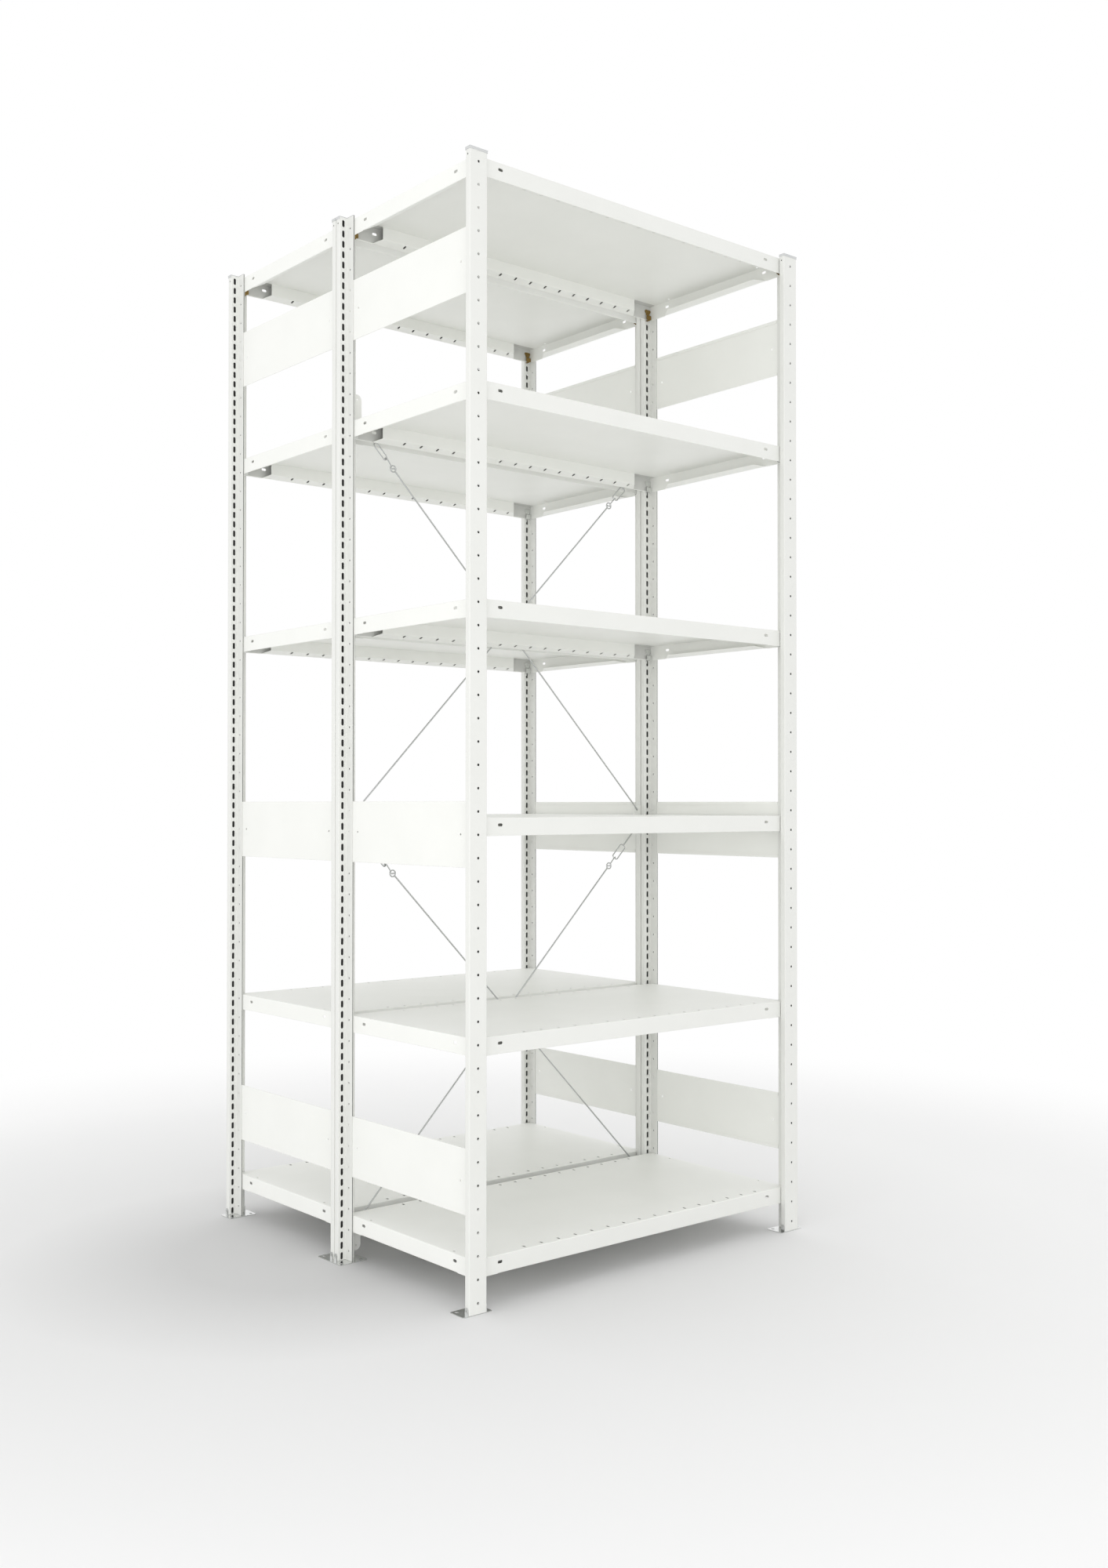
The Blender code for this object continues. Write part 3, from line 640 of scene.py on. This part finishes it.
def clip_mesh():
    """A clip whose leg stands inside the shelf's lip and whose tongue hooks into the post."""
    head = CLIP_HEAD_Y
    leg = head + CLIP_STEP
    shoulder = CLIP_SHOULDER
    path = [(head, CLIP_TOP), (head, shoulder), (leg, shoulder - CLIP_SLANT), (leg, CLIP_WEB_Z)]
    path += [(CLIP_HOOK_Y, CLIP_WEB_Z), (CLIP_HOOK_Y, CLIP_WEB_Z - CLIP_HOOK_DROP)]
    path = rounded_path(path, CLIP_BEND)

    def half_width(z):
        for (high, wide), (low, narrow) in zip(CLIP_WIDTHS, CLIP_WIDTHS[1:]):
            if low <= z <= high:
                return narrow + (wide - narrow) * (z - low) / (high - low)
        return CLIP_TONGUE

    rows = []
    for (y, z), (ahead_y, ahead_z) in zip(path, path[1:]):
        rows.append((y, z))
        if y == ahead_y and z > 0:
            for stop, _ in CLIP_WIDTHS:
                if ahead_z < stop < z:
                    rows.append((y, stop))
    rows.append(path[-1])
    sheet = Sheet()
    for (y, z), (ahead_y, ahead_z) in zip(rows, rows[1:]):
        wide, narrow = half_width(z), half_width(ahead_z)
        tongue = (CLIP_TONGUE, CLIP_TONGUE)
        columns = [(-wide, -narrow), (-CLIP_TONGUE, -CLIP_TONGUE), tongue, (wide, narrow)]
        if z <= 0 or ahead_z < 0 or y < leg - 2 * CLIP_BEND and z < shoulder - 2 * CLIP_SLANT:
            columns = columns[1:3]
        sheet.strip([[(x, y, z) for x, _ in columns], [(x, ahead_y, ahead_z) for _, x in columns]])
    return sheet.mesh(CLIP_SHEET)


# Panels, feet and brackets


def panel_mesh(side):
    """A side panel about its centre, its hems on the side that faces the bay."""
    sheet = Sheet()
    half_run = RACK_DEPTH / 2 - POST_DEPTH + PANEL_GRIP
    half_hem = RACK_DEPTH / 2 - POST_DEPTH - PANEL_HEM_SETBACK
    top = PANEL_HEIGHT / 2
    crease = top - PANEL_SHEET / 2 - PANEL_HEM_BEND
    holes = [(way * (RACK_DEPTH / 2 - PANEL_HOLE_INSET), PANEL_HOLE, PANEL_HOLE) for way in (-1, 1)]
    stops = (-half_hem, half_hem)
    sheet.cell(lambda y, z: (0, y, z), (-crease, 0, crease), ((-half_run, half_run),) * 3, holes, stops, stops)
    for way in (-1, 1):
        for low, high in ((-half_run, -half_hem), (half_hem, half_run)):
            sheet.face([(0, y, way * z) for y, z in ((low, crease), (high, crease), (high, top), (low, top))])
        rows = []
        for step in range(2 * BEND_STEPS + 1):
            angle = math.pi * step / (2 * BEND_STEPS)
            x = PANEL_HEM_BEND * (1 - math.cos(angle))
            rows.append((x, crease + PANEL_HEM_BEND * math.sin(angle)))
        rows.append((rows[-1][0], top - PANEL_HEM))
        sheet.strip([[(side * x, y, way * z) for y in (-half_hem, half_hem)] for x, z in rows])
    return sheet.mesh(PANEL_SHEET)


def ear_mesh(side):
    low = -POST_BASE + FOOT_SHEET / 2
    half = EAR_WIDTH / 2
    edge = [(-half, low), (-half, EAR_HEIGHT), (half, EAR_HEIGHT), (half, low)]
    edge = rounded_path(edge, EAR_ROUNDING, 2 * BEND_STEPS)
    mesh = plate([edge, hole_outline(0, EAR_HOLE_Z, EAR_HOLE, EAR_HOLE)], FOOT_SHEET)
    inside = POST_WIDTH / 2 + CAP_GAP + FOOT_SHEET / 2
    mesh.transform(Matrix.Translation((side * inside, EAR_Y, 0)) @ STAND_ALONG_Y)
    return mesh


def foot_mesh(posts):
    """A foot plate in the frame of one post, or of the plane between two."""
    half = FOOT_WIDTH / 2
    near, turns, face = (0.0, (0,), 0.0) if posts == 1 else (-FOOT_DEPTH, (0, math.pi), INNER_FACE)
    outlines = [rounded_outline(rectangle(-half, half, near, FOOT_DEPTH), FOOT_CORNER)]
    for turn in turns:
        way = 1 if turn == 0 else -1
        for side in (-1, 1):
            outlines.append(
                hole_outline(side * FOOT_HOLE_X, way * FOOT_HOLE_Y, FOOT_HOLE[1] / 2, FOOT_HOLE[0] / 2)
            )
    pieces = [plate(outlines, FOOT_SHEET, -POST_BASE + FOOT_SHEET / 2)]
    for turn in turns:
        for side in (-1, 1):
            ear = moved(ear_mesh(side), Matrix.Translation((0, face, 0)))
            pieces.append(moved(ear, Matrix.Rotation(turn, 4, "Z")))
    return joined(pieces)


def bracket_mesh():
    """A bracket plate about its lower brace hole, its tail between the posts at -X."""
    tail = -BRACKET_REACH - BRACKET_TAIL
    edge = rectangle(tail, BRACKET_MARGIN, -BRACKET_MARGIN, HOLE_PITCH + BRACKET_MARGIN)
    radius = ROD_RADIUS + HOOK_CLEARANCE
    outlines = [rounded_outline(edge, BRACKET_CORNER)]
    outlines += [hole_outline(0, height, radius, radius) for height in (0, HOLE_PITCH)]
    return moved(plate(outlines, BRACKET_SHEET), STAND_ALONG_X)


# Braces, with x along the brace from its upper hook and y = 0 in the brackets' plane


def hook_points(place, way):
    centre = (place + way * HOOK_BEND, HOOK_BEND - HOOK_OFFSET)
    points = [(place, HOOK_TIP, 0)]
    steps = 2 * BEND_STEPS
    for step in range(steps + 1):
        angle = math.pi / 2 * step / steps
        x = centre[0] - way * HOOK_BEND * math.cos(angle)
        y = centre[1] - HOOK_BEND * math.sin(angle)
        points.append((x, y, 0))
    return points


def leaning(points, side):
    """Points turned about the brace's axis by the lean of the link's loop."""
    lean = Matrix.Rotation(side * LINK_LEAN, 4, "X")
    axis = Vector((0, -HOOK_OFFSET, 0))
    return [lean @ (Vector(point) - axis) + axis for point in points]


def link_mesh(side):
    start = LINK_START + LINK_WIRE
    stem = wire(hook_points(0, 1) + [(start, -HOOK_OFFSET, 0)], ROD_RADIUS)
    half = LINK_WIDTH / 2 - LINK_WIRE
    end = LINK_START + LINK_LENGTH - LINK_WIRE
    outline = rounded_outline(rectangle(start, end, -half, half), LINK_CORNER)
    loop = leaning([(x, -HOOK_OFFSET, z) for x, z in outline], side)
    return joined([stem, wire(loop, LINK_WIRE, closed=True)])


def rod_mesh(length, side):
    ring = []
    steps = 12 * BEND_STEPS
    for step in range(steps):
        angle = 2 * math.pi * step / steps
        x = RING_PLACE + RING_RADIUS * math.cos(angle)
        ring.append((x, -HOOK_OFFSET, RING_RADIUS * math.sin(angle)))
    rod = wire(hook_points(length, -1) + [(RING_PLACE + RING_RADIUS, -HOOK_OFFSET, 0)], ROD_RADIUS)
    wound = []
    steps = 6 * BEND_STEPS
    for step in range(steps + 1):
        share = 1 - 2 * step / steps
        y = -HOOK_OFFSET - RING_BULGE * math.cos(math.pi / 2 * share)
        wound.append((RING_PLACE + RING_RADIUS * share, y, RING_WAVE * math.sin(math.pi * share)))
    turn = LINK_START + LINK_LENGTH - LINK_WIRE
    reach = LINK_WIRE + HOOK_GAP + STEM_RADIUS
    hook = []
    steps = 4 * BEND_STEPS
    for step in range(steps + 1):
        angle = math.pi * step / steps
        hook.append((turn - reach * math.sin(angle), -HOOK_OFFSET - reach * math.cos(angle), 0))
    pieces = [rod, wire(ring, RING_WIRE, closed=True), wire(wound + leaning(hook, side), STEM_RADIUS)]
    return joined(pieces)


# Materials


class Look:
    """A node-based material around one Principled shader."""

    def __init__(self, name, metallic=0.0):
        self.material = bpy.data.materials.new(name)
        self.material.use_nodes = True
        self.nodes = self.material.node_tree.nodes
        self.links = self.material.node_tree.links
        self.shader = self.nodes["Principled BSDF"]
        self.shader.inputs["Metallic"].default_value = metallic
        place = self.nodes.new("ShaderNodeTexCoord")
        info = self.nodes.new("ShaderNodeObjectInfo")
        spread = self.nodes.new("ShaderNodeVectorMath")
        spread.operation = "MULTIPLY_ADD"
        spread.inputs[1].default_value = (1, 1, 1)
        scatter = self.nodes.new("ShaderNodeCombineXYZ")
        for axis in range(3):
            self.links.new(info.outputs["Random"], scatter.inputs[axis])
        self.links.new(place.outputs["Object"], spread.inputs[0])
        self.links.new(scatter.outputs[0], spread.inputs[2])
        self.place = spread.outputs[0]

    def noise(self, scale, detail):
        node = self.nodes.new("ShaderNodeTexNoise")
        node.inputs["Scale"].default_value = scale
        node.inputs["Detail"].default_value = detail
        self.links.new(self.place, node.inputs["Vector"])
        return node.outputs[0]

    def crystals(self, scale):
        node = self.nodes.new("ShaderNodeTexVoronoi")
        node.inputs["Scale"].default_value = scale
        self.links.new(self.place, node.inputs["Vector"])
        split = self.nodes.new("ShaderNodeSeparateColor")
        self.links.new(node.outputs["Color"], split.inputs[0])
        return split.outputs[0]

    def mapped(self, value, low, high):
        node = self.nodes.new("ShaderNodeMapRange")
        node.inputs["To Min"].default_value = low
        node.inputs["To Max"].default_value = high
        self.links.new(value, node.inputs["Value"])
        return node.outputs[0]

    def colour(self, value, *stops):
        """Colours the surface along a ramp between two (place, colour) stops."""
        ramp = self.nodes.new("ShaderNodeValToRGB")
        elements = ramp.color_ramp.elements
        for element, (place, colour) in zip(elements, stops):
            element.position = place
            element.color = (*colour, 1)
        self.links.new(value, ramp.inputs[0])
        self.links.new(ramp.outputs[0], self.shader.inputs["Base Color"])

    def rough(self, value, low, high):
        self.links.new(self.mapped(value, low, high), self.shader.inputs["Roughness"])

    def bump(self, value, height, strength):
        node = self.nodes.new("ShaderNodeBump")
        node.inputs["Distance"].default_value = height
        node.inputs["Strength"].default_value = strength
        self.links.new(value, node.inputs["Height"])
        self.links.new(node.outputs[0], self.shader.inputs["Normal"])


def powder_coat(name, tone):
    """The off-white coat, in a tone of its own for each kind of piece; the differing tones are painted light and
    shade.
    """
    look = Look(name)
    dark, light = ([tone * share for share in shares] for shares in COAT_SHADES)
    look.colour(look.noise(9, 3), (0.35, dark), (0.65, light))
    look.rough(look.noise(260, 3), 0.36, 0.5)
    look.bump(look.noise(900, 2), 0.05 * MM, 0.35)
    return look.material


def post_hollow_shade():
    """The dark grey on the inner side of a post's sheet, painted shade for the post's hollow."""
    look = Look("post_hollow_shade")
    look.colour(look.noise(40, 3), (0.3, (0.1, 0.1, 0.095)), (0.7, (0.15, 0.15, 0.145)))
    look.rough(look.noise(300, 3), 0.5, 0.7)
    look.bump(look.noise(1200, 2), 0.03 * MM, 0.4)
    return look.material


def zinc_plate(name, dark, light, low, high):
    look = Look(name, 1.0)
    look.colour(look.crystals(420), (0.2, dark), (0.8, light))
    look.rough(look.noise(150, 4), low, high)
    look.bump(look.noise(1400, 3), 0.03 * MM, 0.4)
    return look.material


def cap_plastic():
    look = Look("cap_plastic")
    look.colour(look.noise(60, 3), (0.35, (0.6, 0.61, 0.61)), (0.65, (0.64, 0.65, 0.65)))
    look.rough(look.noise(400, 2), 0.42, 0.55)
    look.bump(look.noise(2200, 2), 0.03 * MM, 0.4)
    return look.material


# Assembly


def lip_height(level):
    slot = FIRST_SLOT + SLOT_PITCH * (FIRST_SHELF_SLOT + SLOTS_PER_LEVEL * level)
    return slot + LIP_OVER_SLOT + (TOP_SHELF_RISE if level == SHELF_LEVELS - 1 else 0)


def hole_height(hole):
    return POST_BASE + FIRST_SLOT + SLOT_PITCH / 2 + HOLE_PITCH * hole


def add(name, mesh, location, turn, body, slot, *nodes):
    piece = bpy.data.objects.new(name, mesh)
    piece.location = location
    piece.rotation_euler = turn if isinstance(turn, tuple) else (0, 0, turn)
    bpy.context.scene.collection.objects.link(piece)
    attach(piece, body)
    if nodes:
        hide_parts(*nodes)


def dress_posts(coat, hollow_shade, plastic, zinc, brass):
    post = finished(post_mesh(), "post", coat, hollow_shade)
    cap = finished(cap_mesh(), "cap", plastic)
    raw_clip = clip_mesh()
    clips = {"zinc": finished(raw_clip.copy(), "zinc_clip", zinc), "brass": finished(raw_clip, "brass_clip", brass)}
    for rack, rack_way in RACKS:
        for row, face, inwards in ROWS:
            turn = 0 if rack_way * inwards < 0 else math.pi
            for side, side_way in SIDES:
                x, y = side_way * POST_X, rack_way * face
                name = f"{rack}_{row}_post_{side}"
                add(name + "_sheet", post, (x, y, POST_BASE), turn, "frame", "powder_coat", name)
                name = f"{rack}_{row}_cap_{side}"
                add(name + "_lid", cap, (x, y, POST_BASE + POST_LENGTH), turn, "frame", "cap_plastic", name)
                for level in range(SHELF_LEVELS):
                    kind = "brass" if level == SHELF_LEVELS - 1 else "zinc"
                    place = (x - side_way * CLIP_OFFSET, y, POST_BASE + lip_height(level))
                    name = f"{rack}_{row}_clip_{side}_{level + 1}"
                    add(name, clips[kind], place, turn, "frame", "zinc")


def dress_shelves(coat, box_fold_shade_coat, lip_shade_coat):
    # The shelf's second and third coats are darker copies: painted shade in the box folds and on the long lips
    shelf = finished(shelf_mesh(), "shelf", coat, box_fold_shade_coat, lip_shade_coat)
    for rack, rack_way in RACKS:
        for level in range(SHELF_LEVELS):
            place = (0, rack_way * RACK_CENTRE, POST_BASE + lip_height(level))
            name = f"{rack}_shelf_{level + 1}"
            add(name + "_sheet", shelf, place, 0, name, "powder_coat", name)


def dress_panels(coat):
    for side, side_way in SIDES:
        panel = finished(panel_mesh(-side_way), "side_panel", coat)
        for rack, rack_way in RACKS:
            for level, hole in PANEL_POST_HOLES.items():
                place = (side_way * POST_X, rack_way * RACK_CENTRE, hole_height(hole))
                name = f"{rack}_{level}_side_panel_{side}"
                add(name + "_sheet", panel, place, 0, "frame", "powder_coat", name)


def dress_feet(zinc):
    single = finished(foot_mesh(1), "foot_plate", zinc)
    double = finished(foot_mesh(2), "double_foot_plate", zinc)
    for side, side_way in SIDES:
        for row, mesh, y, turn in (
            ("front", single, -OUTER_FACE, 0),
            ("middle", double, 0, 0),
            ("back", single, OUTER_FACE, math.pi),
        ):
            name = f"{row}_foot_plate_{side}"
            add(name + "_pressing", mesh, (side_way * POST_X, y, POST_BASE), turn, "frame", "zinc", name)


def dress_braces(coat, zinc):
    bracket = finished(bracket_mesh(), "brace_bracket", coat)
    hole = POST_X - BRACKET_REACH
    for level, name in enumerate(("low", "middle", "top")):
        for side, side_way in SIDES:
            turn = 0 if side_way < 0 else math.pi
            node = f"{name}_brace_bracket_{side}"
            place = (side_way * hole, 0, hole_height(HOLES_PER_BRACKET * level))
            add(node + "_plate", bracket, place, turn, "frame", "powder_coat", node)
    fall = HOLE_PITCH * (HOLES_PER_BRACKET - 1)
    slope = math.atan2(fall, 2 * hole)
    for side, side_way in SIDES:
        rod = finished(rod_mesh(math.hypot(fall, 2 * hole), side_way), "brace_rod", zinc)
        link = finished(link_mesh(side_way), "brace_link", zinc)
        for name, level in (("lower", 1), ("upper", 2)):
            turn = (0, slope, 0 if side_way < 0 else math.pi)
            place = (side_way * hole, 0, hole_height(HOLES_PER_BRACKET * level))
            for kind, mesh in (("rod", rod), ("link", link)):
                node = f"{name}_brace_{kind}_{side}"
                add(node + "_wire", mesh, place, turn, "frame", "zinc", node)


# Studio


def add_floor():
    shape = bmesh.new()
    bmesh.ops.create_grid(shape, x_segments=1, y_segments=1, size=FLOOR_HALF_SIZE)
    mesh = bpy.data.meshes.new("floor")
    shape.to_mesh(mesh)
    shape.free()
    material = bpy.data.materials.new("floor")
    material.use_nodes = True
    nodes, links = material.node_tree.nodes, material.node_tree.links
    shader = nodes["Principled BSDF"]
    shader.inputs["Roughness"].default_value = FLOOR_ROUGHNESS
    place = nodes.new("ShaderNodeNewGeometry")
    length = nodes.new("ShaderNodeVectorMath")
    length.operation = "LENGTH"
    fade = nodes.new("ShaderNodeMapRange")
    fade.interpolation_type = "SMOOTHSTEP"
    fade.inputs["From Min"].default_value, fade.inputs["From Max"].default_value = FLOOR_FADE
    light_path = nodes.new("ShaderNodeLightPath")
    seen = nodes.new("ShaderNodeMath")
    seen.operation = "MAXIMUM"
    amount = nodes.new("ShaderNodeMath")
    amount.operation = "MULTIPLY"
    glow = nodes.new("ShaderNodeEmission")
    mix = nodes.new("ShaderNodeMixShader")
    links.new(place.outputs["Position"], length.inputs[0])
    links.new(length.outputs["Value"], fade.inputs["Value"])
    links.new(light_path.outputs["Is Camera Ray"], seen.inputs[0])
    links.new(light_path.outputs["Is Glossy Ray"], seen.inputs[1])
    tone = nodes.new("ShaderNodeMix")
    tone.data_type = "RGBA"
    tone.inputs["A"].default_value = (*[FLOOR_BOUNCE_TONE] * 3, 1)
    # For camera and glossy rays the floor is darker near one place beside the unit, a painted shadow; bounced light
    # sees the even bounce tone
    shadow_distance = nodes.new("ShaderNodeVectorMath")
    shadow_distance.operation = "DISTANCE"
    shadow_distance.inputs[1].default_value = FLOOR_SHADOW_CENTRE
    links.new(place.outputs["Position"], shadow_distance.inputs[0])
    spread = nodes.new("ShaderNodeMapRange")
    spread.inputs["From Max"].default_value = FLOOR_SHADOW_REACH
    links.new(shadow_distance.outputs["Value"], spread.inputs["Value"])
    ramp = nodes.new("ShaderNodeValToRGB")
    elements = ramp.color_ramp.elements
    for stop, _ in FLOOR_SHADOW_RAMP[1:-1]:
        elements.new(stop)
    for element, (stop, grey) in zip(elements, FLOOR_SHADOW_RAMP):
        element.position = stop
        element.color = (grey, grey, grey, 1)
    links.new(spread.outputs[0], ramp.inputs[0])
    links.new(ramp.outputs[0], tone.inputs["B"])
    links.new(seen.outputs[0], tone.inputs["Factor"])
    links.new(tone.outputs["Result"], shader.inputs["Base Color"])
    links.new(fade.outputs[0], amount.inputs[0])
    links.new(seen.outputs[0], amount.inputs[1])
    links.new(amount.outputs[0], mix.inputs[0])
    links.new(shader.outputs[0], mix.inputs[1])
    links.new(glow.outputs[0], mix.inputs[2])
    links.new(mix.outputs[0], nodes["Material Output"].inputs[0])
    mesh.materials.append(material)
    floor = bpy.data.objects.new("floor", mesh)
    bpy.context.scene.collection.objects.link(floor)


def add_lamp(name, energy, size, location, target):
    lamp = bpy.data.lights.new(name, "AREA")
    lamp.shape = "SQUARE"
    lamp.size = size
    lamp.energy = energy
    holder = bpy.data.objects.new(name, lamp)
    holder.location = location
    aim = Vector(target) - Vector(location)
    holder.rotation_euler = aim.to_track_quat("-Z", "Y").to_euler()
    bpy.context.scene.collection.objects.link(holder)


def add_world():
    world = bpy.data.worlds.new("studio")
    bpy.context.scene.world = world
    world.use_nodes = True
    nodes, links = world.node_tree.nodes, world.node_tree.links
    backdrop = nodes["Background"]
    backdrop.inputs["Color"].default_value = (1, 1, 1, 1)
    backdrop.inputs["Strength"].default_value = 1
    glow = nodes.new("ShaderNodeBackground")
    glow.inputs["Strength"].default_value = WORLD_GLOW
    light_path = nodes.new("ShaderNodeLightPath")
    seen = nodes.new("ShaderNodeMath")
    seen.operation = "MAXIMUM"
    mix = nodes.new("ShaderNodeMixShader")
    links.new(light_path.outputs["Is Camera Ray"], seen.inputs[0])
    links.new(light_path.outputs["Is Glossy Ray"], seen.inputs[1])
    links.new(seen.outputs[0], mix.inputs[0])
    links.new(glow.outputs[0], mix.inputs[1])
    links.new(backdrop.outputs[0], mix.inputs[2])
    links.new(mix.outputs[0], nodes["World Output"].inputs[0])


def add_camera():
    lens = bpy.data.cameras.new("camera")
    lens.sensor_width = LENS_SENSOR
    lens.lens = LENS_LENGTH
    lens.shift_x, lens.shift_y = LENS_SHIFT
    lens.clip_end = CAMERA_REACH
    camera = bpy.data.objects.new("camera", lens)
    camera.location = CAMERA_PLACE
    camera.rotation_euler = CAMERA_TURN
    bpy.context.scene.collection.objects.link(camera)
    bpy.context.scene.camera = camera


def main():
    # The coat in copies of their own tone for shelves, posts and panels: painted light and shade
    coat = powder_coat("shelf_coat", SHELF_TONE)
    post_coat = powder_coat("post_coat", POST_TONE)
    panel_coat = powder_coat("panel_coat", PANEL_TONE)
    hollow_shade = post_hollow_shade()
    zinc = zinc_plate("zinc_plate", (0.56, 0.57, 0.57), (0.61, 0.62, 0.62), 0.28, 0.42)
    # A lighter copy of the zinc for the clips and feet; for the clips, which sit in the lips' shade, the extra
    # lightness is painted light
    lightened_zinc = zinc_plate("zinc_lightened_copy", (0.7, 0.71, 0.7), (0.78, 0.79, 0.78), 0.14, 0.24)
    brass = zinc_plate("yellow_zinc", (0.26, 0.17, 0.055), (0.32, 0.22, 0.08), 0.3, 0.45)
    dress_posts(post_coat, hollow_shade, cap_plastic(), lightened_zinc, brass)
    dress_shelves(coat, powder_coat("box_fold_shade_coat", BOX_FOLD_SHADE_TONE), powder_coat("lip_shade_coat", LIP_SHADE_TONE))
    dress_panels(panel_coat)
    dress_feet(lightened_zinc)
    dress_braces(coat, zinc)
    add_floor()
    add_world()
    add_camera()
    for lamp in LAMPS:
        add_lamp(*lamp)
    bpy.context.scene.view_settings.view_transform = "Standard"


main()
